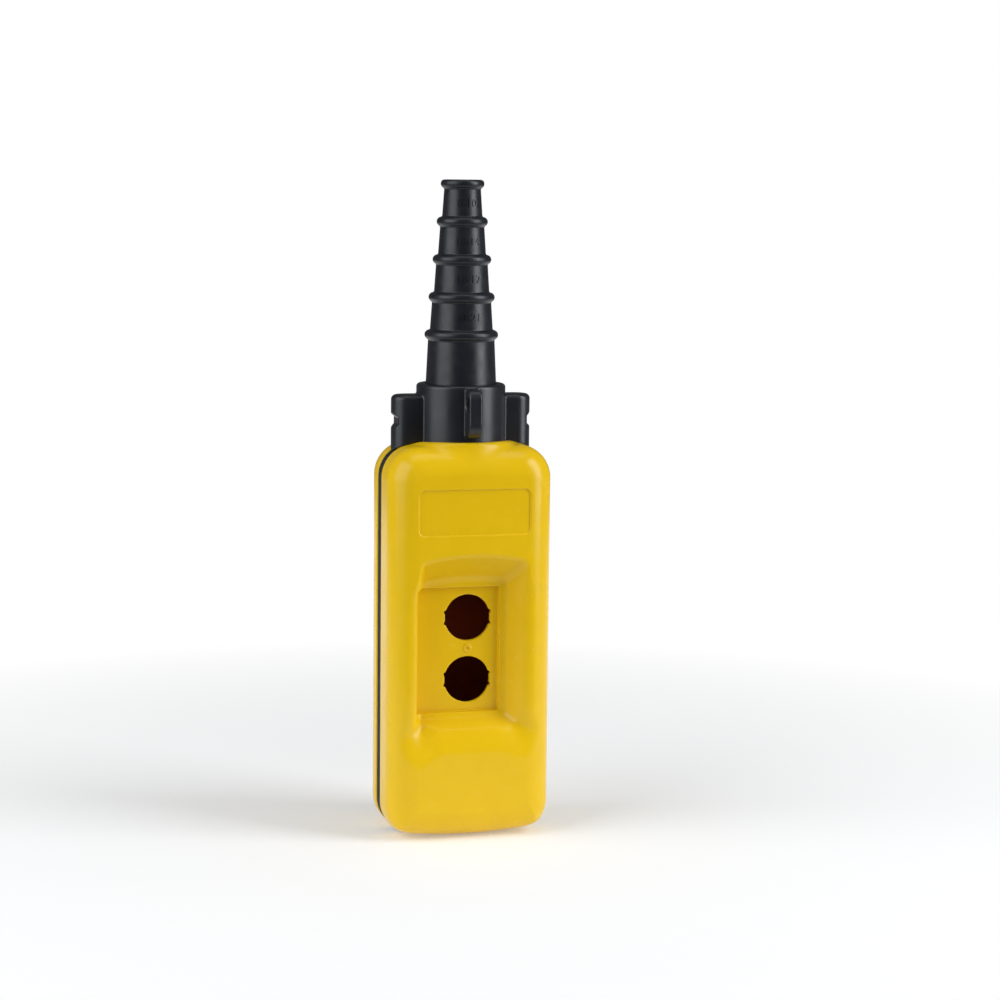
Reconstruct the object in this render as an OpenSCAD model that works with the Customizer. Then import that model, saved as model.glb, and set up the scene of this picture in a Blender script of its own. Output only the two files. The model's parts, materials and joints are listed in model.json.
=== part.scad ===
// Pendant control station: a hanging two-hole push-button enclosure.
// X to the right, -Y to the front, Z up. The origin is under the middle of the case,
// and the Z axis is the axis of the cable sleeve. Millimetres.

/* [Case] */
// Width of the case
case_w = 80; // [78:0.5:84]
// Depth of the case
case_d = 60; // [60:0.5:64]
// Height of the case
case_h = 189; // [185:1:200]
// Corner radius of the case, seen from the front
corner_r = 16; // [15:0.5:20]
// Rounding of the edges round the front face
front_r = 14; // [12:0.5:15]
// Rounding of the vertical edges at the back
rear_side_r = 22; // [18:0.5:24]
// Rounding of the top and bottom edges at the back
rear_end_r = 14; // [12:0.5:15]
// Radius of the domed underside
dome_r = 260; // [150:5:400]
// Wall thickness of both shells
wall = 3; // [2.5:0.1:3.5]
// Rear edge of the front cover
cover_edge_y = -5; // [-6:0.5:-3]
// Front edge of the rear shell
rear_edge_y = 4; // [3:0.5:4]

/* [Thumb scoop] */
// Left side of the scoop at the front face
scoop_left_x = -25; // [-26:0.5:-24]
// Right side of the scoop at the front face
scoop_right_x = 26.5; // [25:0.5:28]
// Height of the scoop's lower rim
scoop_low_z = 51; // [48:0.5:52]
// Height of the scoop's upper rim at the middle
scoop_high_z = 137.7; // [134:0.5:140]
// Radius of the arch along the upper rim
scoop_arch_r = 108; // [80:1:200]
// Depth of the scoop's floor
scoop_depth = 10.8; // [10:0.1:12]
// Left side of the floor
floor_left_x = -23.5; // [-24:0.5:-22]
// Right side of the floor
floor_right_x = 17.5; // [16:0.5:18]
// Height of the floor's lower edge
floor_low_z = 59.2; // [56:0.5:60]
// Height of the floor's upper edge at the middle
floor_high_z = 125.7; // [124:0.5:128]
// Width of the bevel along the scoop's left rim
bevel_w = 5.5; // [4:0.5:6]
// Depth of the bevel
bevel_depth = 5; // [4:0.5:6]

/* [Operator pocket] */
// Left side of the pocket
pocket_left_x = -28; // [-28:0.5:-25]
// Right side of the pocket
pocket_right_x = 15.2; // [15:0.1:16]
// Bottom of the pocket
pocket_low_z = 60.8; // [60:0.5:62]
// Top of the pocket
pocket_high_z = 121.3; // [119:0.5:123]
// Depth of the pocket below the scoop's floor
pocket_depth = 2.6; // [1:0.1:3]
// Diameter of the operator cut-outs
cutout_d = 22.3; // [22.3:0.1:22.5]
// Distance between the two cut-outs
cutout_pitch = 30; // [30:0.5:32]
// Height of the middle between the cut-outs
cutout_mid_z = 91.2; // [90:0.1:92]
// Thickness of the material around each cut-out
cutout_depth = 5; // [4:0.5:12]
// Width of the small keying notches
notch_w = 1.8; // [1.2:0.1:2.5]
// Depth of the notches outside the cut-out
notch_depth = 0.6; // [0.4:0.1:1.2]

/* [Label recess] */
// Half width of the blank recess at the top of the cover
plate_half_w = 27.1; // [20:0.5:28]
// Lower edge of the recess
plate_low_z = 147.6; // [144:0.5:150]
// Upper edge of the recess
plate_high_z = 169.1; // [165:0.5:171]
// Depth of the recess
plate_depth = 0.7; // [0.3:0.1:0.8]
// Corner radius of the recess
plate_r = 2.75; // [2:0.25:4]

/* [Suspension collar] */
// Outer radius of the round collar
collar_r = 21.35; // [20:0.05:22]
// Height of the collar's top
collar_top_z = 217.3; // [214:0.5:220]
// Length across both ears
ears_w = 68.2; // [60:0.2:70]
// Thickness of the ears
ears_d = 15; // [14:0.5:18]
// Height of the top of the ears
ears_top_z = 212.2; // [208:0.5:214]
// Middle of the groove in the ears
groove_z = 199.8; // [198:0.2:202]
// Height of the groove at its mouth
groove_mouth = 6.4; // [5:0.2:8]
// Height of the groove at its bottom
groove_floor = 3.6; // [3:0.2:4.4]
// Depth of the groove
groove_depth = 2.3; // [1.5:0.1:3]
// Thickness of the front lug
lug_t = 6.4; // [5:0.2:7]
// Reach of the front lug from the sleeve's axis
lug_reach = 29.9; // [29:0.1:30]
// Radius of the eye through the lug
eye_r = 3.3; // [2.5:0.1:3.3]

/* [Cable sleeve] */
// Overall height of the station, up to the tip of the sleeve
total_h = 314.3; // [310:0.1:320]
// Height of the lowest bead
bead_low_z = 240.5; // [238:0.5:243]
// Outer radius of the lowest bead
bead_low_r = 17.6; // [17:0.1:18]
// Loss of radius from one bead to the next
bead_step_r = 1.81; // [1.6:0.01:1.9]
// Thickness of a bead
bead_t = 4.5; // [4:0.1:5]
// Radius of the sleeve just above the collar
sleeve_base_r = 16.95; // [16:0.05:17]
// Smallest cable diameter that the tip holds
tip_bore_d = 8; // [7:0.5:8]

/* [Fasteners] */
// Sideways place of the four cover screws
screw_x = 26; // [25:0.5:26]
// Height of the lower cover screws
screw_low_z = 17; // [17:0.5:18]
// Height of the upper cover screws
screw_high_z = 170; // [168:0.5:170]
// Radius of the cover screws' shank
shank_r = 2; // [1.8:0.05:2]
// Radius of the cover screws' head
head_r = 3.8; // [3.5:0.1:4]

/* [Hidden] */

YELLOW = "#e2b61c";
BLACK = "#1a1c20";
RUBBER = "#222529";
BROWN = "#6e3015";
STEEL = "#b9bcc0";
BRASS = "#c9a24a";

$fn = 64;
eps = 0.05; // thickness of the thin slices that shape the shells
over = 1; // how far a cut runs past the face that it opens
arc_steps = 6; // slices along each rounded edge, and points along each corner

half_w = case_w / 2;
front_y = -case_d / 2;
rear_y = case_d / 2;

floor_y = front_y + scoop_depth;
pocket_y = floor_y + pocket_depth;
cutout_rim = 2.2; // extra radius of the thick ring around a cut-out
cutout_r = cutout_d / 2;
cutout_zs = [cutout_mid_z - cutout_pitch / 2, cutout_mid_z + cutout_pitch / 2];
notch_angle = 14; // of each notch above and below the sideways direction
notch_run = 1; // how far the notches reach into a cut-out
lip_rise = 1.8; // the lip in front of the collar stands above the top by this much
lip_r = 24.2;
lip_back_y = -15;

spigot_gap = 0.25; // between the collar and the opening in the shells
flange_r = 23.5;
flange_low_z = 176;
flange_t = 3;
neck_boss_low_z = 182;
neck_boss_r = 25;
sleeve_flange_low_z = 194;
sleeve_flange_high_z = 198;
socket_r = 18.8; // wide lower part of the collar's bore

bead_count = 5;
bead_pitch = (total_h - bead_t / 2 - bead_low_z) / (bead_count - 1);
neck_drop_r = 1.75; // from a bead's radius to the sleeve just under it
neck_flare_r = 1.2; // widening of the sleeve down to the next bead
bore_rs = [11, 9, 7, 5.5, tip_bore_d / 2]; // for the stretches from the base to the tip

insert_r = 2.75;
insert_low_y = -8;
boss_r = 5.2;
boss_end_y = 4.9;
pillar_r = 7.2;
pillar_low_y = 5;
counterbore_r = 4.6;
seat_y = 14;
seal_t = 1.1;
head_t = 3.3;
shank_gap = 0.05; // between a screw's shank and its insert
screw_tip_y = -5;
retainer_r = 3.6;
retainer_t = 1.2;
screw_places = [[-screw_x, screw_low_z], [screw_x, screw_low_z],
    [-screw_x, screw_high_z], [screw_x, screw_high_z]];

lip_outer = 5.7; // how far the locating lip lies inside the case's outline
lip_inner = 7.5;
lip_front_y = -6;
lip_rear_y = 9;
band_outer = 0.2; // how far the seal band is sunk
band_inner = 5.5;
band_gap = 0.1; // between a seal and the shells that it closes against

clamp_z = 155;
clamp_x = 17;
clamp_w = 44;
clamp_h = 13;
cable_max_r = 10.5;
saddle_y = 8;
saddle_t = 6;
bar_t = 2.5;
bar_y = -7.5;
bar_h = 10;
nut_r = 3.7;
nut_t = 3;
clamp_shank_r = 2;
clamp_head_r = 3.6;
clamp_head_t = 2.6;
clamp_tip_y = 16;
clamp_post_r = 4.6;

rail_w = 46;
rail_slot_x = -19;
rail_low_z = 46;
rail_high_z = 136;
rail_y = 22;
rail_t = 2.5;
rail_side_h = 4;
rail_post_r = 4.5;
rail_screw_zs = [56, 126];
rail_shank_r = 1.6;
rail_head_r = 3.2;
rail_head_t = 2.4;
rail_tip_y = 27.8;

label_half_w = 15;
label_low_z = 62;
label_high_z = 98;
label_recess = 0.4;
label_t = 0.35;

function arc(cx, cz, r, a0) =
    [for (i = [0:arc_steps]) let (a = a0 + 90 * i / arc_steps) [cx + r * cos(a), cz + r * sin(a)]];

function round_rect(hw, z0, z1, r) = concat(
    arc(hw - r, z1 - r, r, 0), arc(r - hw, z1 - r, r, 90),
    arc(r - hw, z0 + r, r, 180), arc(hw - r, z0 + r, r, 270));

// Extrudes an outline drawn in X and Z towards the back, from y0 to y1.
module along_y(y0, y1) {
    translate([0, y1, 0]) rotate([90, 0, 0]) linear_extrude(y1 - y0) children();
}

// A cylinder along Y.
module y_cylinder(x, z, r, y0, y1) {
    translate([x, y1, z]) rotate([90, 0, 0]) cylinder(r = r, h = y1 - y0);
}

// The case's outline seen from the front, with true arcs, moved inwards by inset.
module case_outline(inset) {
    r = corner_r - inset;
    w = half_w - inset;
    translate([-w, corner_r]) square([2 * w, case_h - 2 * corner_r]);
    translate([r - w, inset]) square([2 * (w - r), case_h - 2 * inset]);
    for (x = [r - w, w - r], z = [corner_r, case_h - corner_r]) translate([x, z]) circle(r = r);
}

// One slice of a shell at angle a round its edge: 0 is the straight side, 90 the flat face.
module slice(y0, y1, side_r, end_r, inset, a) {
    shrink_x = side_r - (side_r - inset) * cos(a);
    shrink_z = end_r - (end_r - inset) * cos(a);
    along_y(y0, y1)
        polygon(round_rect(half_w - shrink_x, shrink_z, case_h - shrink_z, corner_r - shrink_z));
}

// The space inside the domed underside, moved inwards by inset.
module dome(inset) {
    translate([0, 0, dome_r]) sphere(r = dome_r - inset);
}

module front_solid(inset, end_y) {
    intersection() {
        front_hull(inset, end_y);
        dome(inset);
    }
}

module front_hull(inset, end_y) {
    hull() {
        slice(front_y + front_r, end_y, front_r, front_r, inset, 0);
        for (i = [1:arc_steps]) {
            a = 90 * i / arc_steps;
            y = front_y + front_r - (front_r - inset) * sin(a);
            slice(y, y + eps, front_r, front_r, inset, a);
        }
    }
}

module rear_solid(inset, start_y) {
    intersection() {
        rear_hull(inset, start_y);
        dome(inset);
    }
}

module rear_hull(inset, start_y) {
    hull() {
        slice(start_y, rear_y - rear_side_r, rear_side_r, rear_end_r, inset, 0);
        for (i = [1:arc_steps]) {
            a = 90 * i / arc_steps;
            y = rear_y - rear_side_r + (rear_side_r - inset) * sin(a);
            slice(y - eps, y, rear_side_r, rear_end_r, inset, a);
        }
    }
}

// The scoop's outline: a rectangle whose top is a shallow arch.
module arched_outline(x0, x1, z0, z1) {
    intersection() {
        translate([x0, z0]) square([x1 - x0, z1 - z0]);
        translate([0, z1 - scoop_arch_r]) circle(r = scoop_arch_r);
    }
}

// One slice of the scoop at depth t, which is 0 at the front face and 1 at the floor.
module scoop_slice(y, t, grow) {
    along_y(y, y + eps) arched_outline(
        scoop_left_x + (floor_left_x - scoop_left_x) * t - grow,
        scoop_right_x + (floor_right_x - scoop_right_x) * t + grow,
        scoop_low_z + (floor_low_z - scoop_low_z) * t - grow,
        scoop_high_z + (floor_high_z - scoop_high_z) * t + grow);
}

// The hollow of the scoop, grown by a wall thickness for the material behind it.
module scoop(grow) {
    hull() {
        scoop_slice(front_y - over, -over / scoop_depth, grow);
        scoop_slice(floor_y + grow - eps, 1, grow);
    }
    hull() {
        bevel_slice(front_y - over, bevel_w * (1 + over / bevel_depth), grow);
        bevel_slice(front_y + bevel_depth, 0, grow);
    }
}

module bevel_slice(y, w, grow) {
    low_z = scoop_low_z - grow;
    high_z = scoop_high_z - 3.5 + grow;
    translate([scoop_left_x - w - grow, y, low_z]) cube([w + grow + 5, eps, high_z - low_z]);
}

module pocket(grow, y0) {
    translate([pocket_left_x - grow, y0, pocket_low_z - grow])
        cube([pocket_right_x - pocket_left_x + 2 * grow, pocket_y + grow - y0,
            pocket_high_z - pocket_low_z + 2 * grow]);
}

module cutout(z) {
    y0 = pocket_y - over;
    y1 = pocket_y + cutout_depth + over;
    y_cylinder(0, z, cutout_r, y0, y1);
    for (side = [0, 180], a = [-notch_angle, notch_angle])
        translate([0, 0, z]) rotate([0, side + a, 0])
            translate([0, y0, -notch_w / 2])
                cube([cutout_r + notch_depth, pocket_y + notch_run - y0, notch_w]);
}

module neck_boss(low_z) {
    translate([0, 0, low_z]) cylinder(r = neck_boss_r, h = case_h - low_z);
}

module neck_opening() {
    translate([0, 0, neck_boss_low_z - over])
        cylinder(r = collar_r + spigot_gap, h = case_h + lip_rise - neck_boss_low_z + 2 * over);
}

// The lip that shields the foot of the collar at the front.
module collar_lip() {
    intersection() {
        translate([0, 0, neck_boss_low_z]) cylinder(r = lip_r, h = case_h + lip_rise - neck_boss_low_z);
        translate([-lip_r, front_y, 0]) cube([2 * lip_r, lip_back_y - front_y, case_h + 2 * lip_rise]);
    }
}

module front_cover() {
    boss_start_y = front_y + wall - 0.5;
    color(YELLOW) difference() {
        union() {
            difference() {
                front_solid(0, cover_edge_y);
                front_solid(wall, cover_edge_y + over);
            }
            intersection() {
                front_solid(0.5, cover_edge_y);
                union() {
                    scoop(wall);
                    pocket(wall, front_y);
                    neck_boss(neck_boss_low_z);
                }
            }
            collar_lip();
            for (z = cutout_zs) y_cylinder(0, z, cutout_r + cutout_rim, pocket_y, pocket_y + cutout_depth);
            for (p = screw_places) y_cylinder(p[0], p[1], boss_r, boss_start_y, boss_end_y);
        }
        scoop(0);
        pocket(0, front_y - over);
        for (z = cutout_zs) cutout(z);
        for (p = screw_places) y_cylinder(p[0], p[1], insert_r, insert_low_y, boss_end_y + over);
        along_y(front_y - over, front_y + plate_depth)
            polygon(round_rect(plate_half_w, plate_low_z, plate_high_z, plate_r));
        neck_opening();
    }
}

module rear_shell() {
    color(YELLOW) difference() {
        union() {
            difference() {
                rear_solid(0, rear_edge_y);
                rear_solid(wall, rear_edge_y - over);
            }
            intersection() {
                rear_solid(0.5, rear_edge_y);
                union() {
                    neck_boss(neck_boss_low_z);
                    for (p = screw_places) y_cylinder(p[0], p[1], pillar_r, pillar_low_y, rear_y);
                }
            }
            locating_lip();
            for (x = [-clamp_x, clamp_x])
                y_cylinder(x, clamp_z, clamp_post_r, saddle_y + saddle_t, rear_y - wall / 2);
            for (z = rail_screw_zs) y_cylinder(0, z, rail_post_r, rail_y + rail_t, rear_y - wall / 2);
        }
        for (p = screw_places) screw_hole(p[0], p[1]);
        for (x = [-clamp_x, clamp_x])
            y_cylinder(x, clamp_z, clamp_shank_r + 0.4, saddle_y, rear_y - 1.5);
        for (z = rail_screw_zs) y_cylinder(0, z, rail_shank_r, rail_y, rail_tip_y + 0.2);
        along_y(rear_y - label_recess, rear_y + over)
            polygon(round_rect(label_half_w, label_low_z, label_high_z, plate_r));
        neck_opening();
        translate([0, 0, flange_low_z - over])
            cylinder(r = flange_r + 1, h = neck_boss_low_z - flange_low_z + over);
    }
}

// A frame that follows the case's outline, between two insets.
module outline_frame(y0, y1, outer, inner) {
    difference() {
        outline_plate(y0, y1, outer);
        outline_plate(y0 - over, y1 + over, inner);
    }
}

module outline_plate(y0, y1, inset) {
    intersection() {
        along_y(y0, y1) case_outline(inset);
        dome(inset);
    }
}

// The rim inside the joint that lines the two shells up and backs the seal. It stops at the neck.
module locating_lip() {
    difference() {
        outline_frame(lip_front_y, lip_rear_y, lip_outer, lip_inner);
        translate([0, 0, flange_low_z]) cylinder(r = neck_boss_r + 0.5, h = case_h);
    }
    outline_frame(rear_edge_y, lip_rear_y, wall - 0.1, lip_inner);
}

module screw_hole(x, z) {
    y_cylinder(x, z, shank_r + 0.3, pillar_low_y - over, rear_y);
    y_cylinder(x, z, retainer_r, pillar_low_y - over, pillar_low_y + retainer_t);
    y_cylinder(x, z, counterbore_r, seat_y, rear_y + over);
}

module seal_band() {
    color(RUBBER) difference() {
        outline_frame(cover_edge_y + band_gap, rear_edge_y - band_gap, band_outer, band_inner);
        translate([0, 0, flange_low_z]) cylinder(r = collar_r + spigot_gap, h = case_h - flange_low_z);
    }
}

module lug_outline() {
    tip_r = 4.5;
    foot_r = 7;
    top_z = 216;
    low_z = 193;
    root_y = -19;
    translate([tip_r - lug_reach, low_z]) square([lug_reach - tip_r + root_y, top_z - low_z]);
    translate([-lug_reach, low_z + foot_r])
        square([lug_reach + root_y, top_z - low_z - foot_r - tip_r]);
    translate([tip_r - lug_reach, top_z - tip_r]) circle(r = tip_r);
    intersection() {
        translate([foot_r - lug_reach, low_z + foot_r]) circle(r = foot_r);
        translate([-lug_reach, low_z]) square([lug_reach + root_y, foot_r]);
    }
}

module lug() {
    eye_y = -25;
    eye_z = 208.8;
    difference() {
        translate([-lug_t / 2, 0, 0]) rotate([90, 0, 90]) linear_extrude(lug_t) lug_outline();
        translate([-lug_t, eye_y, eye_z]) rotate([0, 90, 0]) cylinder(r = eye_r, h = 2 * lug_t);
    }
}

module ear_groove() {
    x = ears_w / 2;
    along_y(-ears_d, ears_d) polygon([
        [x - groove_depth, groove_z - groove_floor / 2], [x + over, groove_z - groove_mouth / 2 - over / 2],
        [x + over, groove_z + groove_mouth / 2 + over / 2], [x - groove_depth, groove_z + groove_floor / 2]]);
}

module suspension_collar() {
    ear_r = ears_d / 2;
    low_z = case_h - corner_r;
    color(BLACK) difference() {
        union() {
            difference() {
                union() {
                    translate([0, 0, low_z]) linear_extrude(ears_top_z - low_z) {
                        square([ears_w - ears_d, ears_d], center = true);
                        for (x = [ear_r - ears_w / 2, ears_w / 2 - ear_r]) translate([x, 0]) circle(r = ear_r);
                    }
                    lug();
                }
                along_y(-case_d, case_d) case_outline(-0.3);
            }
            translate([0, 0, flange_low_z]) cylinder(r = collar_r, h = collar_top_z - flange_low_z);
            translate([0, 0, flange_low_z]) cylinder(r = flange_r, h = flange_t);
        }
        translate([0, 0, flange_low_z - over])
            cylinder(r = socket_r, h = sleeve_flange_high_z - flange_low_z + over);
        translate([0, 0, sleeve_flange_low_z])
            cylinder(r = sleeve_base_r + 0.15, h = collar_top_z - sleeve_flange_low_z + over);
        ear_groove();
        mirror([1, 0, 0]) ear_groove();
    }
}

function bead_z(i) = bead_low_z + bead_pitch * i;
function bead_r(i) = bead_low_r - bead_step_r * i;

// Outline of the sleeve without its beads: a tapered stretch under each bead.
function sleeve_side() = [for (i = [0:bead_count - 1]) each [
    [i == 0 ? sleeve_base_r : bead_r(i) - neck_drop_r + neck_flare_r, i == 0 ? collar_top_z : bead_z(i - 1)],
    [bead_r(i) - neck_drop_r, bead_z(i)]]];

module cable_sleeve() {
    lip = 0.2; // between the sleeve's flange and the collar's socket
    color(RUBBER) difference() {
        union() {
            rotate_extrude() {
                polygon(concat([[0, sleeve_flange_low_z], [sleeve_base_r, sleeve_flange_low_z]],
                    sleeve_side(), [[0, bead_z(bead_count - 1)]]));
                for (i = [0:bead_count - 1]) {
                    r = bead_r(i) - bead_t / 2;
                    translate([0, bead_z(i) - bead_t / 2]) square([r, bead_t]);
                    translate([r, bead_z(i)]) circle(r = bead_t / 2);
                }
            }
            translate([0, 0, sleeve_flange_low_z])
                cylinder(r = socket_r - lip, h = sleeve_flange_high_z - sleeve_flange_low_z);
        }
        for (i = [0:bead_count - 1]) {
            low_z = i == 0 ? sleeve_flange_low_z - over : bead_z(i - 1);
            translate([0, 0, low_z]) cylinder(r = bore_rs[i], h = bead_z(i) + bead_t - low_z);
        }
    }
}

module sleeve_lock_ring() {
    ring_low_z = 186;
    slot_w = 4;
    color(BLACK) difference() {
        translate([0, 0, ring_low_z]) cylinder(r = socket_r - 0.1, h = sleeve_flange_low_z - ring_low_z);
        translate([0, 0, ring_low_z - over])
            cylinder(r = 13.5, h = sleeve_flange_low_z - ring_low_z + 2 * over);
        for (a = [45:90:315]) rotate([0, 0, a])
            translate([15, -slot_w / 2, ring_low_z - over]) cube([2.2, slot_w, 4]);
    }
}

module neck_seal() {
    seal_h = neck_boss_low_z - flange_low_z - flange_t - band_gap;
    color(RUBBER) translate([0, 0, flange_low_z + flange_t]) difference() {
        cylinder(r = flange_r, h = seal_h);
        translate([0, 0, -over]) cylinder(r = collar_r + 0.05, h = seal_h + 2 * over);
    }
}

module clamp_saddle() {
    color(BLACK) difference() {
        translate([-clamp_w / 2, saddle_y, clamp_z - clamp_h / 2]) cube([clamp_w, saddle_t, clamp_h]);
        translate([0, 0, clamp_z - clamp_h]) cylinder(r = cable_max_r, h = 2 * clamp_h);
        for (x = [-clamp_x, clamp_x]) {
            y_cylinder(x, clamp_z, clamp_shank_r + 0.2, 0, saddle_y + saddle_t + over);
            nut_prism(x, saddle_y + saddle_t - nut_t, 0.1, nut_t + over);
        }
    }
}

module nut_prism(x, y, gap, t) {
    translate([x, y + t, clamp_z]) rotate([90, 0, 0]) cylinder(r = nut_r + gap, h = t, $fn = 6);
}

module clamp_nuts() {
    color(BRASS) for (x = [-clamp_x, clamp_x]) difference() {
        nut_prism(x, saddle_y + saddle_t - nut_t, 0, nut_t);
        y_cylinder(x, clamp_z, clamp_shank_r + shank_gap, saddle_y, saddle_y + saddle_t + over);
    }
}

module clamp_bar() {
    color(STEEL) translate([0, 0, clamp_z - bar_h / 2]) difference() {
        linear_extrude(bar_h) difference() {
            union() {
                translate([-clamp_w / 2, bar_y - bar_t]) square([clamp_w, bar_t]);
                circle(r = cable_max_r + bar_t);
            }
            circle(r = cable_max_r);
            translate([-clamp_w, bar_y]) square([2 * clamp_w, clamp_w]);
        }
        for (x = [-clamp_x, clamp_x]) y_cylinder(x, bar_h / 2, clamp_shank_r + 0.2, -clamp_w, clamp_w);
    }
}

// A screw along Y with a cross recess. The head's seat is at y; side is 1 for a head at the back.
module screw(x, z, seat, tip, side, s_r, h_r, h_t) {
    cross_l = 1.3 * h_r;
    cross_w = 0.26 * h_r;
    head_y = seat + side * h_t;
    difference() {
        union() {
            y_cylinder(x, z, s_r, min(seat, tip), max(seat, tip));
            y_cylinder(x, z, h_r, min(seat, head_y), max(seat, head_y));
        }
        for (a = [0, 90]) translate([x, head_y, z]) rotate([0, a, 0])
            cube([cross_l, h_t, cross_w], center = true);
    }
}

module clamp_screw(x) {
    color(STEEL) screw(x, clamp_z, bar_y - bar_t, clamp_tip_y, -1, clamp_shank_r, clamp_head_r, clamp_head_t);
}

module cover_screw(i) {
    p = screw_places[i];
    color(STEEL) screw(p[0], p[1], seat_y + seal_t, screw_tip_y, 1, shank_r, head_r, head_t);
}

module washer(i, r, y, t) {
    p = screw_places[i];
    difference() {
        y_cylinder(p[0], p[1], r, y, y + t);
        y_cylinder(p[0], p[1], shank_r + shank_gap, y - over, y + t + over);
    }
}

module screw_retainer(i) {
    color("ivory") washer(i, retainer_r, pillar_low_y, retainer_t);
}

module screw_seal(i) {
    color(RUBBER) washer(i, head_r, seat_y, seal_t);
}

module threaded_insert(i) {
    color(BRASS) washer(i, insert_r, insert_low_y, boss_end_y - insert_low_y);
}

module contact_rail() {
    side_t = 1.6;
    color(BROWN) difference() {
        union() {
            translate([-rail_w / 2, rail_y, rail_low_z])
                cube([rail_w, rail_t, rail_high_z - rail_low_z]);
            for (x = [-rail_w / 2, rail_w / 2 - side_t])
                translate([x, rail_y - rail_side_h, rail_low_z])
                    cube([side_t, rail_side_h + rail_t, rail_high_z - rail_low_z]);
        }
        for (z = rail_screw_zs) y_cylinder(0, z, rail_shank_r + 0.2, 0, rear_y);
        for (z = [72:12:110]) translate([rail_slot_x, 0, z]) cube([10, rear_y, 5]);
    }
}

module rail_screw(i) {
    color(STEEL) screw(0, rail_screw_zs[i], rail_y, rail_tip_y, -1, rail_shank_r, rail_head_r, rail_head_t);
}

module rating_label() {
    margin = 0.3;
    color("silver") along_y(rear_y - label_recess, rear_y - label_recess + label_t)
        polygon(round_rect(label_half_w - margin, label_low_z + margin, label_high_z - margin,
            plate_r - margin));
}

front_cover();
rear_shell();
seal_band();
suspension_collar();
cable_sleeve();
sleeve_lock_ring();
neck_seal();
clamp_saddle();
clamp_bar();
clamp_screw(-clamp_x);  // clamp_screw_1
clamp_screw(clamp_x);  // clamp_screw_2
clamp_nuts();
for (i = [0:3]) {
    cover_screw(i);
    screw_retainer(i);
    screw_seal(i);
    threaded_insert(i);
}
contact_rail();
rail_screw(0);  // rail_screw_1
rail_screw(1);  // rail_screw_2
rating_label();
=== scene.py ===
"""Looks of the pendant control station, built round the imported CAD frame.

Shapes are given in millimetres in the part's own frame: X right, -Y front, Z up. Each moulded
piece is a signed distance field (negative inside) that is meshed and moved onto its exact surface.
"""
import json
import math

import bpy
import numpy as np
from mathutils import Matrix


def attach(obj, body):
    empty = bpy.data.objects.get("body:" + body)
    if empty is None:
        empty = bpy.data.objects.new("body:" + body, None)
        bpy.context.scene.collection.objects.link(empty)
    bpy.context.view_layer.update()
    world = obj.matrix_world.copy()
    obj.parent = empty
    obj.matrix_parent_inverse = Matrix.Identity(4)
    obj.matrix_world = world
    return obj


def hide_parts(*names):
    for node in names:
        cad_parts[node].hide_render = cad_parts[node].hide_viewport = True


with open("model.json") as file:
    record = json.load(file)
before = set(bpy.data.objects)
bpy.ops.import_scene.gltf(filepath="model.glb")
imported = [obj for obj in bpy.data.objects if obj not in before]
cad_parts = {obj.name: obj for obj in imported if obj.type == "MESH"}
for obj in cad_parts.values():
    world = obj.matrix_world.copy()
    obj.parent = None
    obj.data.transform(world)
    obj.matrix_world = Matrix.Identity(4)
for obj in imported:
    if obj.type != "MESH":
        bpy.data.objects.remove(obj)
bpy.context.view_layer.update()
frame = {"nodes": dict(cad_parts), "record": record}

import openvdb
from mathutils import Matrix, Vector

MM = 0.001

# The case
CASE_HALF_W, CASE_HALF_D, CASE_H = 40.0, 30.0, 189.0
CORNER_R, FRONT_R, REAR_R = 16.0, 14.0, 22.0
DOME_R = 260.0
WALL = 3.0
COVER_EDGE_Y, SHELL_EDGE_Y = -5.0, 4.0
SCREW_X, SCREW_Z = 26.0, (17.0, 170.0)
CLAMP_X, CLAMP_Z = 17.0, 155.0
RAIL_Y, RAIL_SCREW_Z = 24.5, (56.0, 126.0)

# The front: its face, the scoop, the operator pocket and the label recess
FRONT_Y, FLOOR_Y, POCKET_Y = -30.0, -19.2, -16.6
SCOOP_LEFT_X, SCOOP_RIGHT_X, SCOOP_LOW_Z, SCOOP_TOP_Z, ARCH_R = -25.8, 26.5, 51.0, 137.7, 108.0
POCKET_X, POCKET_Z = (-27.2, 15.2), (60.8, 121.3)
CUTOUT_R, CUTOUT_Z = 11.15, (76.2, 106.2)
MARK_Z = 91.2
LABEL_HALF_W, LABEL_Z, LABEL_R, LABEL_DEPTH = 27.1, (147.6, 169.1), 2.75, 0.7

# The collar
COLLAR_R, COLLAR_TOP, EARS_TOP, EARS_HALF_W, EARS_R = 21.35, 217.3, 212.2, 34.1, 7.5
SPIGOT_R = COLLAR_R + 0.25
EYE_Y, EYE_Z, EYE_R, LUG_HALF_T = -25, 208.8, 3.3, 3.2
FLANGE_R, FLANGE_Z, NECK_R, NECK_LOW_Z = 23.5, (176, 179), 25, 182

# The sleeve
BEAD_LOW_Z, BEAD_LOW_R, BEAD_STEP_R, SLEEVE_TOP = 240.5, 17.6, 1.81, 314.3
BEAD_HALF = 2.25
BEADS = 5
BEAD_PITCH = (SLEEVE_TOP - BEAD_HALF - BEAD_LOW_Z) / (BEADS - 1)
BORE_R = (11.0, 9.0, 7.0, 5.5, 4.0)
SLEEVE_LOW_Z, SLEEVE_FLANGE_R, SLEEVE_FLANGE_T = 194, 18.6, 4


# ---------------------------------------------------------------- distance fields

def both(a, b, r=0.0):
    """Intersection, with the edge rounded to radius r."""
    if np.isscalar(r) and r == 0.0:
        return np.maximum(a, b)
    return np.minimum(-r, np.maximum(a, b)) + np.hypot(np.maximum(a + r, 0), np.maximum(b + r, 0))


def either(a, b, r=0.0):
    """Union, with the inside corner filled to radius r."""
    return -both(-a, -b, r)


def minus(a, b, r=0.0):
    """Difference, with the edge rounded to radius r."""
    return both(a, -b, r)


def span(v, low, high):
    """Distance to a slab between low and high."""
    return np.abs(v - (low + high) / 2) - (high - low) / 2


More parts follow.
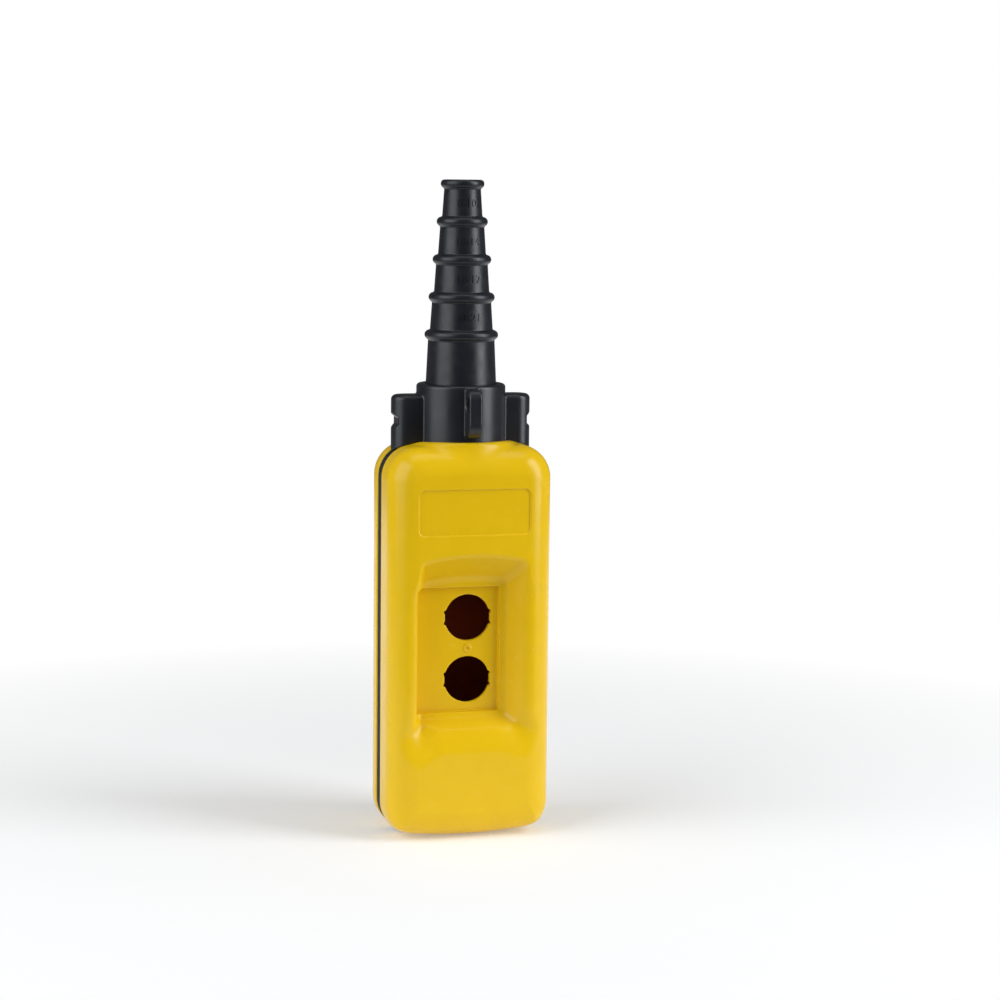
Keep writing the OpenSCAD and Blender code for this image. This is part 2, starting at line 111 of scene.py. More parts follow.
def round_rect(u, v, half_u, low, high, r):
    """Distance to a rectangle with round corners, centred in u and from low to high in v."""
    qu = np.abs(u) - (half_u - r)
    qv = span(v, low, high) + r
    return np.hypot(np.maximum(qu, 0), np.maximum(qv, 0)) + np.minimum(np.maximum(qu, qv), 0) - r


def rod(u, v, cu, cv, r):
    """Distance to an endless cylinder that crosses the u-v plane at cu, cv."""
    return np.hypot(u - cu, v - cv) - r


def smoothstep(v, low, high):
    """0 below the low end, 1 above the high end, and a smooth step between."""
    t = np.clip((v - low) / (high - low), 0, 1)
    return t * t * (3 - 2 * t)


# ---------------------------------------------------------------- meshing

def gradient(field, p, h):
    """The field's slope at the points p, from two samples 2h apart on each axis."""
    g = np.empty_like(p)
    for k in range(3):
        a, b = p.copy(), p.copy()
        a[:, k] += h
        b[:, k] -= h
        g[:, k] = (field(*a.T) - field(*b.T)) / (2 * h)
    return g


def mesh_object(name, points, faces, normals=None):
    """An object from points in millimetres."""
    mesh = bpy.data.meshes.new(name)
    mesh.from_pydata((np.asarray(points) * MM).tolist(), [], faces)
    mesh.update()
    mesh.shade_smooth()
    if normals is not None:
        mesh.normals_split_custom_set_from_vertices(normals.tolist())
    piece = bpy.data.objects.new(name, mesh)
    bpy.context.scene.collection.objects.link(piece)
    return piece


def moulded(name, field, low, high, step):
    """Meshes the surface where field is 0, inside the box from low to high."""
    band, rounds, probe, least_slope = 3.0, 4, 0.02, 0.25
    axes = [np.arange(a - 2 * step, b + 2 * step, step) for a, b in zip(low, high)]
    x, y, z = np.meshgrid(*axes, indexing="ij", sparse=True)
    shape = tuple(len(a) for a in axes)
    values = np.broadcast_to(field(x, y, z), shape) / step
    grid = openvdb.FloatGrid(band)
    grid.copyFromArray(np.clip(values, -band, band).astype(np.float32))
    points, triangles, quads = grid.convertToPolygons(isovalue=0.0, adaptivity=0.0)

    p = np.asarray(points, float) * step + [a[0] for a in axes]
    for _ in range(rounds):
        g = gradient(field, p, probe)
        d = field(*p.T)
        p -= g * np.clip(d / np.maximum((g * g).sum(1), least_slope), -step, step)[:, None]
    n = gradient(field, p, step * 0.2)
    n /= np.maximum(np.linalg.norm(n, axis=1), 1e-9)[:, None]

    faces = np.asarray(quads, int).tolist() + np.asarray(triangles, int).tolist()
    q = np.asarray(quads, int)
    cross = np.cross(p[q[:, 2]] - p[q[:, 0]], p[q[:, 3]] - p[q[:, 1]])
    if (cross * n[q[:, 0]]).sum() < 0:
        faces = [f[::-1] for f in faces]
    return mesh_object(name, p, faces, n)


# ---------------------------------------------------------------- shapes of the moulded pieces

def case_outline(x, z, inset=0.0):
    """The case seen from the front."""
    return round_rect(x, z, CASE_HALF_W, 0, CASE_H, CORNER_R) + inset


def dome(x, y, z):
    """The domed underside."""
    return np.sqrt(x * x + y * y + (z - DOME_R) ** 2) - DOME_R


def heel_radius(x):
    """How softly the underside meets the sides: not at all in the middle."""
    sharp, soften, from_x, to_x = 0.1, 2.9, 8, 24
    return sharp + soften * smoothstep(np.abs(x), from_x, to_x)


def outline_frame(x, y, z, outer, inner):
    """A frame that follows the case's outline, between two insets."""
    edge = both(case_outline(x, z), dome(x, y, z), heel_radius(x))
    return np.maximum(edge + outer, -edge - inner)


def scoop_side(distance, y, run):
    """A side of the scoop that comes in by run from the face down to the scoop's floor."""
    slope = run / (FLOOR_Y - FRONT_Y)
    return (distance + (y - FRONT_Y) * slope) / math.hypot(1, slope)


def scoop(x, y, z):
    """The thumb scoop's hollow: a steep left side, a gentle right side, a ramp at each end."""
    left_run, right_run, top_run, low_run = 1.5, 9.0, 12.0, 8.2
    side_r, corner_r, floor_r = 1.0, 2.2, 1.6
    low_widening = 0.8 * (1 - smoothstep(z, 60, 75))
    left = scoop_side(SCOOP_LEFT_X - low_widening - x, y, left_run)
    right = scoop_side(x - SCOOP_RIGHT_X, y, right_run)
    top = scoop_side(np.hypot(x, z - (SCOOP_TOP_Z - ARCH_R)) - ARCH_R, y, top_run)
    bottom = scoop_side(SCOOP_LOW_Z - z, y, low_run)
    hollow = both(both(left, right, side_r), both(top, bottom, side_r), corner_r)
    return both(hollow, y - FLOOR_Y, floor_r)


def scoop_rim_radius(x, z):
    """The scoop's rim is crisp at the top, soft at the left, and softest at the bottom."""
    crisp, left_extra, right_extra, low_extra = 1.0, 5.5, 2.5, 6.0
    below_top = 1 - smoothstep(z, 116.0, 132.0)
    at_left = 1 - smoothstep(x, -26.0, -14.0)
    at_right = smoothstep(x, 12.0, 24.0)
    at_bottom = 1 - smoothstep(z, 46.0, 64.0)
    return crisp + below_top * (left_extra * at_left + right_extra * at_right) + low_extra * at_bottom


def operator_pocket(x, y, z, grow=0.0):
    """The pocket round the cut-outs, with its lower left corner softer than the rest."""
    crisp, softer, floor_r = 0.5, 2.5, 0.25
    corner_r = crisp + softer * smoothstep(-x, 18, 26) * smoothstep(-z, -80, -64)
    sides = both(span(x, *POCKET_X), span(z, *POCKET_Z), corner_r)
    return both(sides - grow, y - POCKET_Y - grow, floor_r)


def cutout(x, z, zc):
    """A 22 mm cut-out with two small keying notches on each side."""
    hole = rod(x, z, 0, zc, CUTOUT_R)
    notch_z, notch_half, notch_depth, notch_r = 2.75, 0.75, 0.35, 0.25
    notch = np.maximum(np.abs(np.abs(z - zc) - notch_z) - notch_half, np.abs(x) - CUTOUT_R - notch_depth)
    return either(hole, notch, notch_r)


def collar_lip(x, y, z):
    """The lip that rises in front of the collar's foot, lower towards its ends."""
    lip_r, back_y, back_z, rise, low_z = 24.4, -8, 188.6, 0.13, 180
    top = z - back_z + rise * (y - back_y)
    lip = both(np.hypot(x, y) - lip_r, top, 1.4)
    return np.maximum(both(lip, y - back_y + 0.5, 1.0), low_z - z)


def spigot_hole(x, y, z):
    """The round opening for the collar in the top of both shells."""
    return np.maximum(np.hypot(x, y) - SPIGOT_R, 170 - z)


def neck(x, y, z):
    """The thicker ring of material round the collar."""
    return both(np.hypot(x, y) - NECK_R, NECK_LOW_Z - z, 0.5)


def cover_boss(x, y, z, zc):
    """A screw boss at each side at height zc, with the rib that ties it to the cover's side."""
    boss_r, boss_end_y, rib_half_t, rib_x, rib_y = 5.2, 4.9, 0.9, 37.5, (-28, -9)
    boss = both(rod(np.abs(x), z, SCREW_X, zc, boss_r), span(y, FRONT_Y + WALL - 0.5, boss_end_y), 0.4)
    rib = np.maximum(np.abs(z - zc) - rib_half_t, span(np.abs(x), SCREW_X, rib_x))
    return either(boss, np.maximum(rib, span(y, *rib_y)), 0.4)


def gate_mark(cover, x, y, z):
    """The small raised moulding mark between the cut-outs, with a dimple in it."""
    mark_r, mark_rise, dimple_r, dimple_rise = 2.1, 0.45, 0.9, 0.6
    off = np.hypot(x, z - MARK_Z)
    mark = both(off - mark_r, POCKET_Y - mark_rise - y, 0.4)
    cover = either(cover, np.maximum(mark, y - POCKET_Y - 1), 0.25)
    return minus(cover, np.hypot(off, y - POCKET_Y + dimple_rise) - dimple_r, 0.2)


def front_cover(x, y, z):
    """The hollow front shell."""
    insert_r, insert_y, pocket_wall, cutout_end_y = 2.72, -8, 2.2, -10
    face = both(both(case_outline(x, z), dome(x, y, z), heel_radius(x)), FRONT_Y - y, FRONT_R)
    face = either(face, collar_lip(x, y, z), 4.5)
    outer = minus(face, scoop(x, y, z), scoop_rim_radius(x, z))
    cavity = minus(outer + WALL, operator_pocket(x, y, z, pocket_wall), 1.0)
    cover = minus(minus(outer, operator_pocket(x, y, z), 0.35), cavity)
    cover = both(cover, y - COVER_EDGE_Y, 0.6)
    ring = np.maximum(np.maximum(neck(x, y, z), face + 0.5), y - COVER_EDGE_Y)
    cover = either(cover, ring, 0.8)
    for zc in SCREW_Z:
        cover = either(cover, np.maximum(cover_boss(x, y, z, zc), face + 1.0), 0.8)
        insert_hole = np.maximum(rod(np.abs(x), z, SCREW_X, zc, insert_r), insert_y - y)
        cover = minus(cover, insert_hole, 0.2)
    for zc in CUTOUT_Z:
        cover = minus(cover, np.maximum(cutout(x, z, zc), y - cutout_end_y), 0.25)
    recess = both(round_rect(x, z, LABEL_HALF_W, *LABEL_Z, LABEL_R), y - FRONT_Y - LABEL_DEPTH, 0.3)
    cover = gate_mark(minus(cover, recess, 0.45), x, y, z)
    return minus(cover, spigot_hole(x, y, z), 0.4)


def tongue(x, y, z):
    """The rear shell's tongue that carries the seal and reaches into the front cover."""
    outer, web_outer, inner, low_y, high_y = 5.7, 2.5, 7.5, -6, 9
    lip = both(outline_frame(x, y, z, outer, inner), span(y, low_y, high_y), 0.5)
    web = np.maximum(outline_frame(x, y, z, web_outer, inner), span(y, SHELL_EDGE_Y, high_y))
    clear_of_neck = np.maximum(np.hypot(x, y) - NECK_R - 0.5, 150 - z)
    return minus(either(lip, web, 0.3), clear_of_neck, 0.3)


def cover_screw_hole(x, y, z, zc):
    """A stepped hole for a cover screw: counterbore, clearance hole and retainer recess."""
    counterbore_r, counterbore_y, clearance_r, recess_r, recess_y = 4.6, 14, 2.3, 3.6, 6.2
    axis = rod(np.abs(x), z, SCREW_X, zc, 0)
    counterbore = np.maximum(axis - counterbore_r, counterbore_y - y)
    recess = np.maximum(axis - recess_r, y - recess_y)
    return np.minimum(np.minimum(axis - clearance_r, counterbore), recess)


def rear_shell(x, y, z):
    """The hollow rear shell, with the posts for the clamp and the rail."""
    pillar_r, post_end_y, hole_end_y, label_y = 7.2, 28.5, 28.2, 29.6
    sides = both(np.abs(x) - CASE_HALF_W, y - CASE_HALF_D, REAR_R)
    outer = both(both(sides, span(z, 0, CASE_H), CORNER_R), dome(x, y, z), heel_radius(x))
    shell = np.maximum(outer, -outer - WALL)
    shell = either(shell, np.maximum(neck(x, y, z), outer + 0.5), 0.8)
    for zc in SCREW_Z:
        pillar = np.maximum(rod(np.abs(x), z, SCREW_X, zc, pillar_r), outer + 0.5)
        shell = either(shell, np.maximum(pillar, 5 - y), 0.8)
    shell = both(shell, SHELL_EDGE_Y - y, 0.6)
    shell = either(shell, tongue(x, y, z), 0.4)
    clamp_posts = [(side * CLAMP_X, CLAMP_Z, 4.6, 2.4, 14) for side in (1, -1)]
    rail_posts = [(0, zc, 4.5, 1.6, RAIL_Y) for zc in RAIL_SCREW_Z]
    for xc, zc, post_r, _, seat_y in clamp_posts + rail_posts:
        post = np.maximum(rod(x, z, xc, zc, post_r), span(y, seat_y, post_end_y))
        shell = either(shell, post, 0.8)
    for xc, zc, _, hole_r, _ in clamp_posts + rail_posts:
        shell = minus(shell, np.maximum(rod(x, z, xc, zc, hole_r), span(y, 0, hole_end_y)), 0.2)
    for zc in SCREW_Z:
        shell = minus(shell, cover_screw_hole(x, y, z, zc), 0.35)
    shell = minus(shell, np.maximum(round_rect(x, z, 15.0, 62, 98, 2.75), label_y - y), 0.2)
    shell = minus(shell, spigot_hole(x, y, z), 0.4)
    flange_r, flange_z = 24.5, (174, 182)
    return minus(shell, np.maximum(np.hypot(x, y) - flange_r, span(z, *flange_z)), 0.2)


def seal_band(x, y, z):
    """The rubber seal: a flat band with two raised beads round its outside."""
    middle_y, bead_y, bead_half, bead_rise, flat_inset, top_inset, inner = -0.5, 2.2, 1.5, 0.4, 0.6, 0.2, 5.5
    off_bead = np.clip((np.abs(y - middle_y) - bead_y) / bead_half, -1, 1)
    bead = bead_rise * np.cos(off_bead * math.pi / 2) ** 2
    ring = outline_frame(x, y, z, flat_inset, inner) - bead
    ring = np.maximum(ring, outline_frame(x, y, z, top_inset, inner))
    band = both(ring, span(y, COVER_EDGE_Y + 0.1, SHELL_EDGE_Y - 0.1), 0.5)
    return minus(band, spigot_hole(x, y, z), 0.3)


def collar_ears(x, y, z):
    """The two side ears, with a groove across the end of each."""
    groove_depth, groove_z, groove_half, groove_slope = 2.3, 199.8, 1.8, 0.61
    ears = np.hypot(np.maximum(np.abs(x) - (EARS_HALF_W - EARS_R), 0), y) - EARS_R
    block = both(ears, z - EARS_TOP, 2.4)
    groove_x = EARS_HALF_W - groove_depth
    opening = groove_half + np.clip(np.abs(x) - groove_x, 0, 5) * groove_slope
    groove = both((np.abs(z - groove_z) - opening) * 0.85, groove_x - np.abs(x), 0.3)
    return minus(block, groove, 0.6)


def collar_lug(x, y, z):
    """The lug on the collar's front, with its eye."""
    front_y, back_y, low_z, high_z = -29.9, -12, 193, 216
    lug = both(both(front_y - y, z - high_z, 4.5), low_z - z, 7.0)
    lug = both(np.maximum(lug, y - back_y), np.abs(x) - LUG_HALF_T, 1.1)
    return minus(lug, rod(y, z, EYE_Y, EYE_Z, EYE_R), 0.7)


def suspension_collar(x, y, z):
    """The black collar that closes the neck and carries the sleeve."""
    socket_r, socket_top_z, bore_r, case_gap = 18.8, 198, 17.1, 0.1
    axis = np.hypot(x, y)
    barrel = both(axis - COLLAR_R, z - COLLAR_TOP, 1.6)
    above = either(collar_ears(x, y, z), collar_lug(x, y, z), 0.5)
    above = minus(above, case_outline(x, z, -case_gap), 0.3)
    body = either(above, np.maximum(barrel, FLANGE_Z[0] - z), 0.7)
    body = either(body, both(axis - FLANGE_R, span(z, *FLANGE_Z), 0.4), 0.4)
    body = minus(body, np.maximum(axis - socket_r, z - socket_top_z), 0.3)
    return minus(body, axis - bore_r, 0.8)


def bead_z(i):
    """Height of bead i, counted from the bottom."""
    return BEAD_LOW_Z + BEAD_PITCH * i


def bead_r(i):
    """Outer radius of bead i."""
    return BEAD_LOW_R - BEAD_STEP_R * i


def sleeve_radius(z):
    """Outer radius of the stepped sleeve at height z: tapered stretches between the beads."""
    bead_rise, taper, foot_taper, foot_length = 1.8, 1.2, 0.84, 1.3
    i = np.clip(np.ceil((z - BEAD_LOW_Z) / BEAD_PITCH), 0, BEADS - 1)
    along = np.clip((bead_z(i) - z) / BEAD_PITCH, 0, foot_length)
    return bead_r(i) - bead_rise + np.where(i > 0, taper, foot_taper) * along


def cable_sleeve(x, y, z):
    """The stepped rubber sleeve, stepped inside as well."""
    tip_drop, tip_trim, bore_low_z, bore_overlap = 1, 0.12, 180, 5
    axis = np.hypot(x, y)
    body = (axis - sleeve_radius(z)) * 0.99
    body = both(body, z - SLEEVE_TOP + tip_drop, 0.5)
    for k in range(BEADS):
        core = bead_r(k) - BEAD_HALF
        ring = np.hypot(np.maximum(axis - core, 0), z - bead_z(k)) - BEAD_HALF
        if k == BEADS - 1:
            ring = both(ring, z - SLEEVE_TOP + tip_trim, 0.8)
        body = either(body, ring, 0.7)
    flange = both(axis - SLEEVE_FLANGE_R, span(z, SLEEVE_LOW_Z, SLEEVE_LOW_Z + SLEEVE_FLANGE_T), 0.5)
    body = np.maximum(either(body, flange, 0.4), SLEEVE_LOW_Z - z)
    for k, r in enumerate(BORE_R):
        low = bore_low_z if k == 0 else bead_z(k - 1)
        body = minus(body, np.maximum(axis - r, span(z, low, bead_z(k) + bore_overlap)), 0.5)
    return body


def screw(x, y, z, seat, tip, side, shank_r, head_r, head_t, pitch):
    """A cross-head screw along Y at the origin of x and z, its head on the given side."""
    slot_half, slot_reach, slot_depth = 0.13 * head_r, 0.65 * head_r, 0.5 * head_t
    axis = np.hypot(x, z)
    out = (y - seat) * side
    head = both(axis - head_r, span(out, 0, head_t), 0.45)
    for u, v in ((x, z), (z, x)):
        slot = np.maximum(np.abs(u) - slot_half, np.abs(v) - slot_reach)
        head = minus(head, np.maximum(slot, slot_depth - out), 0.12)
    turn = np.arctan2(z, x) / (2 * math.pi)
    wave = np.abs(((y / pitch - turn) % 1) - 0.5) * 2
    groove = 0.55 * pitch * (1 - wave) * smoothstep(-out, 1.5, 3.0)
    shank = both((axis - shank_r + groove) * 0.75, np.maximum(-out - abs(seat - tip), out - 0.3), 0.4)
    return either(head, shank, 0.15)


# ---------------------------------------------------------------- materials

class Nodes:
    """A material's node tree, with short calls for the few nodes used here."""

    def __init__(self, name):
        self.material = bpy.data.materials.new(name)
        self.material.use_nodes = True
        self.tree = self.material.node_tree
        self.shader = self.tree.nodes["Principled BSDF"]
        self.place = self.add("ShaderNodeTexCoord").outputs["Object"]

    def add(self, kind, **settings):
        """A new node of a kind, with its settings."""
        node = self.tree.nodes.new(kind)
        for key, value in settings.items():
            setattr(node, key, value)
        return node

    def link(self, a, b):
        """Joins two sockets."""
        self.tree.links.new(a, b)

    def noise(self, size_mm, detail=2.0, roughness=0.5, stretch=None):
        """Noise from 0 to 1 whose patches are size_mm across."""
        node = self.add("ShaderNodeTexNoise")
        node.inputs["Scale"].default_value = 1 / (size_mm * MM)
        node.inputs["Detail"].default_value = detail
        node.inputs["Roughness"].default_value = roughness
        source = self.place
        if stretch:
            mapping = self.add("ShaderNodeMapping")
            mapping.inputs["Scale"].default_value = stretch
            self.link(source, mapping.inputs["Vector"])
            source = mapping.outputs["Vector"]
        self.link(source, node.inputs["Vector"])
        return node.outputs["Fac"]

    def ramp(self, value, low, high, from_low=0.3, from_high=0.7):
        """Takes from_low..from_high to low..high."""
        node = self.add("ShaderNodeMapRange")
        self.link(value, node.inputs["Value"])
        limits = {"From Min": from_low, "From Max": from_high, "To Min": low, "To Max": high}
        for key, number in limits.items():
            node.inputs[key].default_value = number
        return node.outputs["Result"]

    def blend(self, value, dark, light):
        """Blends two colours into the base colour."""
        node = self.add("ShaderNodeMix", data_type="RGBA")
        self.link(value, node.inputs["Factor"])
        node.inputs["A"].default_value = (*dark, 1)
        node.inputs["B"].default_value = (*light, 1)
        self.link(node.outputs["Result"], self.shader.inputs["Base Color"])

    def bump(self, height, depth_mm, strength, under=None):
        """Raises the surface by a height, on top of the bump given as under."""
        node = self.add("ShaderNodeBump")
        node.inputs["Strength"].default_value = strength
        node.inputs["Distance"].default_value = depth_mm * MM
        self.link(height, node.inputs["Height"])
        if under is not None:
            self.link(under, node.inputs["Normal"])
        self.link(node.outputs["Normal"], self.shader.inputs["Normal"])
        return node.outputs["Normal"]


def tint(colour, gain):
    """A colour made lighter or darker."""
    return tuple(min(1.0, c * gain) for c in colour)


def moulded_plastic(name, colour, roughness, shine=0.5, mottle=0.04):
    """Injection-moulded plastic: spark-eroded grain, faint flow mottling and uneven gloss."""
    mottle_mm, patch_mm, wave_mm, wave_depth, grain_mm, grain_depth = 9.0, 14.0, 22.0, 0.05, 0.35, 0.012
    n = Nodes(name)
    n.blend(n.noise(mottle_mm, 3.0), tint(colour, 1 - mottle), tint(colour, 1 + mottle))
    n.link(n.ramp(n.noise(patch_mm, 4.0), roughness - 0.05, roughness + 0.05), n.shader.inputs["Roughness"])
    waves = n.bump(n.noise(wave_mm, 1.0), wave_depth, 0.35)
    n.bump(n.noise(grain_mm, 3.0, 0.6), grain_depth, 0.8, under=waves)
    n.shader.inputs["IOR"].default_value = 1.49
    n.shader.inputs["Specular IOR Level"].default_value = shine
    return n.material


def moulded_rubber(name, colour, roughness):
    """Moulded rubber: a fine matt grain with a faint dusty bloom."""
    bloom_mm, bloom, patch_mm, grain_mm, grain_depth = 6.0, 1.5, 5.0, 0.25, 0.02
    n = Nodes(name)
    n.blend(n.noise(bloom_mm, 5.0, 0.65), colour, tint(colour, bloom))
    n.link(n.ramp(n.noise(patch_mm, 4.0), roughness - 0.06, roughness + 0.06), n.shader.inputs["Roughness"])
    n.bump(n.noise(grain_mm, 2.0), grain_depth, 0.7)
    n.shader.inputs["IOR"].default_value = 1.52
    n.shader.inputs["Specular IOR Level"].default_value = 0.4
    return n.material


def turned_metal(name, colour, roughness):
    """Plated or turned metal: fine lines along Y, with clouded plating."""
    cloud_mm, cloud, patch_mm, line_mm, line_depth, lines = 3.0, 0.86, 1.2, 0.5, 0.01, (1, 0.1, 1)
    n = Nodes(name)
    n.shader.inputs["Metallic"].default_value = 1.0
    n.blend(n.noise(cloud_mm, 4.0), tint(colour, cloud), colour)
    n.link(n.ramp(n.noise(patch_mm, 3.0), roughness - 0.07, roughness + 0.08), n.shader.inputs["Roughness"])
    n.bump(n.noise(line_mm, 2.0, stretch=lines), line_depth, 0.5)
    return n.material


def label_foil(name, dark, light):
    """Matt foil, brushed along its height."""
    cloud_mm, patch_mm, line_mm, line_depth, lines = 4.0, 2.0, 0.3, 0.005, (1, 1, 0.05)
    n = Nodes(name)
    n.shader.inputs["Metallic"].default_value = 0.6
    n.blend(n.noise(cloud_mm, 3.0), dark, light)
    n.link(n.ramp(n.noise(patch_mm, 3.0), 0.38, 0.5), n.shader.inputs["Roughness"])
    n.bump(n.noise(line_mm, 2.0, stretch=lines), line_depth, 0.5)
    return n.material


materials = {
    "yellow_shell": moulded_plastic("yellow_plastic", (0.80, 0.505, 0.005), 0.24, shine=0.3),
    "black_plastic": moulded_plastic("black_plastic", (0.0085, 0.0095, 0.0135), 0.34, mottle=0.12),
    # The brown phenolic's colour is partly painted shade: it is set dark and red so that what lies behind
    # the cut-outs shows the deep red-brown shade of the yellow shell's inside.
    "brown_phenolic": moulded_plastic("brown_phenolic", (0.3, 0.045, 0.006), 0.5, shine=0.1),
    "black_rubber": moulded_rubber("sleeve_rubber", (0.006, 0.0072, 0.0108), 0.36),
    "seal_rubber": moulded_rubber("seal_rubber", (0.008, 0.008, 0.009), 0.6),
    "zinc_steel": turned_metal("zinc_steel", (0.62, 0.64, 0.66), 0.32),
    "brass": turned_metal("turned_brass", (0.78, 0.55, 0.22), 0.28),
    "white_nylon": moulded_plastic("white_nylon", (0.72, 0.71, 0.65), 0.45),
    "label_foil": label_foil("label_foil", (0.58, 0.58, 0.57), (0.68, 0.68, 0.66)),
}
record = frame["record"]
slot_of = {row["node"]: row["material_slot"] for row in record["subparts"]}
body_of = {node: body for body, nodes in record["behaviour"]["bodies"].items() for node in nodes}


def stand_for(piece, node):
    """Puts piece in the place of a CAD node: its body, its slot and its material."""
    slot = slot_of[node]
    piece.data.materials.append(materials[slot])
    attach(piece, body_of[node])
    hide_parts(node)


# ---------------------------------------------------------------- pieces

# Each moulding's node, field, box and mesh step
MOULDINGS = (
    ("front_cover", front_cover, (-40, -30, 0), (40, 5, CASE_H + 2), 0.55),
    ("rear_shell", rear_shell, (-40, -6, 0), (40, 30, CASE_H), 0.7),
    ("seal_band", seal_band, (-40, -5, 0), (40, 4, CASE_H), 0.6),
    ("suspension_collar", suspension_collar, (-34.2, -30, 176), (34.2, 24, 218), 0.45),
    ("cable_sleeve", cable_sleeve, (-19, -19, 194), (19, 19, 315), 0.45),
)
for node, field, low, high, step in MOULDINGS:
    step *= 1
    stand_for(moulded(node + "_moulding", field, low, high, step), node)


def screw_piece(node, x, z, size):
    """A screw in the place of its CAD node, with size as the rest of screw()'s arguments."""
    seat, tip, _, _, head_r, _, _ = size
    reach, end_room = head_r + 0.3, 4
    low = (-reach, min(seat, tip) - end_room, -reach)
    high = (reach, max(seat, tip) + end_room, reach)
    piece = moulded(node + "_detail", lambda a, b, c: screw(a, b, c, *size), low, high, 0.2)
    piece.data.transform(Matrix.Translation((x * MM, 0, z * MM)))
    stand_for(piece, node)


# Seat, tip, side of the head, shank radius, head radius, head thickness, pitch
COVER_SCREW = (15.1, -5.0, 1, 2.0, 3.8, 3.3, 0.7)
CLAMP_SCREW = (-10.0, 16.0, -1, 2.0, 3.6, 2.6, 0.7)
RAIL_SCREW = (22.0, 27.8, -1, 1.6, 3.2, 2.4, 0.6)
for i in range(4):
    screw_piece(f"cover_screw_{i + 1}", (-1, 1)[i % 2] * SCREW_X, SCREW_Z[i // 2], COVER_SCREW)
for i, side in enumerate((-1, 1)):
    screw_piece(f"clamp_screw_{i + 1}", side * CLAMP_X, CLAMP_Z, CLAMP_SCREW)
for i, height in enumerate(RAIL_SCREW_Z):
    screw_piece(f"rail_screw_{i + 1}", 0, height, RAIL_SCREW)

for node, piece in frame["nodes"].items():
    piece.data.materials.clear()
    piece.data.materials.append(materials[slot_of[node]])


def number_mesh(label):
    """The mesh of a flat line of raised characters."""
    curve = bpy.data.curves.new("number", "FONT")
    curve.body = label
    curve.size = 5.2
    curve.extrude = 0.35
    curve.align_x = "CENTER"
    curve.space_character = 1.12
    text = bpy.data.objects.new("number", curve)
    bpy.context.scene.collection.objects.link(text)
    mesh = bpy.data.meshes.new_from_object(text.evaluated_get(bpy.context.evaluated_depsgraph_get()))
    bpy.data.objects.remove(text)
    return mesh


def sleeve_numbers():
    """Raised cable diameters on the sleeve's steps, bent round its front."""
    above_bead = 7.1
    points, faces = [], []
    for step, label in enumerate(("18-21", "14-17", "11-14", "8-10")):
        mesh = number_mesh(label)
        first = len(points)
        for v in mesh.vertices:
            z = bead_z(step) + above_bead + v.co.y
            r = float(sleeve_radius(np.float64(z))) + v.co.z
            angle = v.co.x / r - math.pi / 2
            points.append((r * math.cos(angle), r * math.sin(angle), z))
        faces += [[first + k for k in f.vertices] for f in mesh.polygons]
    piece = mesh_object("sleeve_numbers", points, faces)
    piece.data.shade_flat()
    piece.data.materials.append(materials["black_rubber"])
    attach(piece, "case")


sleeve_numbers()


# ---------------------------------------------------------------- stage, lights and camera, in metres


def floor():
    """A pale round floor that turns into the white backdrop away from the object."""
    radius, corners, middle_x, middle_y, near, far = 0.8, 96, 0.1, 0.5, 0.12, 0.5
    turn = [2 * math.pi * k / corners for k in range(corners)]
    mesh = bpy.data.meshes.new("floor")
    rim = [(middle_x + radius * math.cos(a), middle_y + radius * math.sin(a), 0) for a in turn]
    mesh.from_pydata(rim, [], [range(corners)])
    plane = bpy.data.objects.new("floor", mesh)
    bpy.context.scene.collection.objects.link(plane)
    n = Nodes("pale_floor")
    away = n.add("ShaderNodeVectorMath", operation="LENGTH")
    n.link(n.place, away.inputs[0])
    distance = away.outputs["Value"]
    n.blend(n.ramp(distance, 0, 1, near, far), (0.8, 0.8, 0.8), (0, 0, 0))
    n.link(n.ramp(distance, 0.22, 1.0, near, far), n.shader.inputs["Emission Strength"])
    n.shader.inputs["Emission Color"].default_value = (1, 1, 1, 1)
    n.shader.inputs["Roughness"].default_value = 0.8
    n.shader.inputs["Specular IOR Level"].default_value = 0.0
    mesh.materials.append(n.material)


def softbox(name, place, aim, width, height, power, colour=(1, 1, 1)):
    """A rectangular light that faces the point aim."""
    light = bpy.data.lights.new(name, "AREA")
    light.shape = "RECTANGLE"
    light.size, light.size_y = width, height
    light.energy = power
    light.color = colour
    lamp = bpy.data.objects.new(name, light)
    lamp.location = place
    lamp.rotation_euler = (Vector(aim) - Vector(place)).to_track_quat("-Z", "Y").to_euler()
    bpy.context.scene.collection.objects.link(lamp)


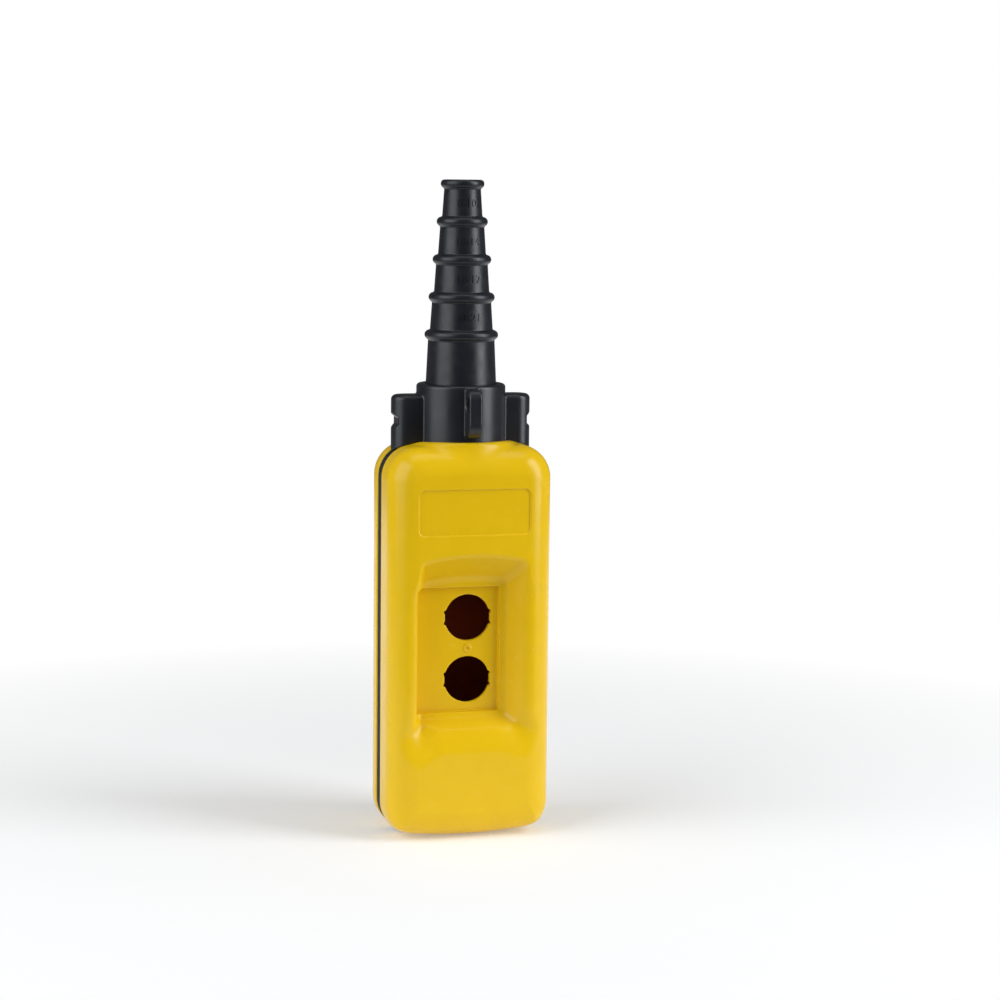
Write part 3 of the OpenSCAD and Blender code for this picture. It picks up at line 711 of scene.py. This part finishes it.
def studio_world(backdrop, ambient):
    """A white backdrop behind the object, and a dimmer room round it."""
    world = bpy.data.worlds.new("studio")
    bpy.context.scene.world = world
    world.use_nodes = True
    tree = world.node_tree
    tree.nodes.clear()
    seen = tree.nodes.new("ShaderNodeLightPath")
    out = tree.nodes.new("ShaderNodeOutputWorld")
    mix = tree.nodes.new("ShaderNodeMixShader")
    for k, (colour, strength) in enumerate((ambient, backdrop)):
        glow = tree.nodes.new("ShaderNodeBackground")
        glow.inputs["Color"].default_value = (*colour, 1)
        glow.inputs["Strength"].default_value = strength
        tree.links.new(glow.outputs[0], mix.inputs[k + 1])
    tree.links.new(seen.outputs["Is Camera Ray"], mix.inputs[0])
    tree.links.new(mix.outputs[0], out.inputs["Surface"])


def camera(distance, yaw, pitch, roll, lens, target):
    """A camera to the front left and a little above, looking at target, in metres and degrees."""
    yaw, pitch, roll = (math.radians(a) for a in (yaw, pitch, roll))
    back = Vector((-math.sin(yaw) * math.cos(pitch), -math.cos(yaw) * math.cos(pitch), math.sin(pitch)))
    level = Vector((math.cos(yaw), -math.sin(yaw), 0))
    upright = back.cross(level)
    right = level * math.cos(roll) + upright * math.sin(roll)
    up = upright * math.cos(roll) - level * math.sin(roll)
    data = bpy.data.cameras.new("camera")
    data.lens = lens
    data.sensor_width = 36
    data.clip_end = 20
    eye = bpy.data.objects.new("camera", data)
    turn = Matrix((right, up, back)).transposed().to_4x4()
    eye.matrix_world = Matrix.Translation(Vector(target) + back * distance) @ turn
    bpy.context.scene.collection.objects.link(eye)
    bpy.context.scene.camera = eye


COOL_WHITE = (0.94, 0.97, 1.0)
floor()
softbox("left_softbox", (-0.9, -0.27, 0.56), (0, 0, 0.16), 0.95, 1.15, 9.9, COOL_WHITE)
softbox("right_softbox", (0.82, -0.53, 0.54), (0, 0, 0.18), 0.52, 1.15, 11.2, COOL_WHITE)
softbox("top_softbox", (0.0, -0.1, 1.15), (0, 0, 0.1), 0.8, 0.5, 2.0)
studio_world(((1, 1, 1), 1.0), ((1, 1, 1), 0.1))
camera(distance=1.198, yaw=15.46, pitch=7.17, roll=0.62, lens=89.05, target=(0.0201, 0, 0.1603))
bpy.context.scene.view_settings.view_transform = "Standard"
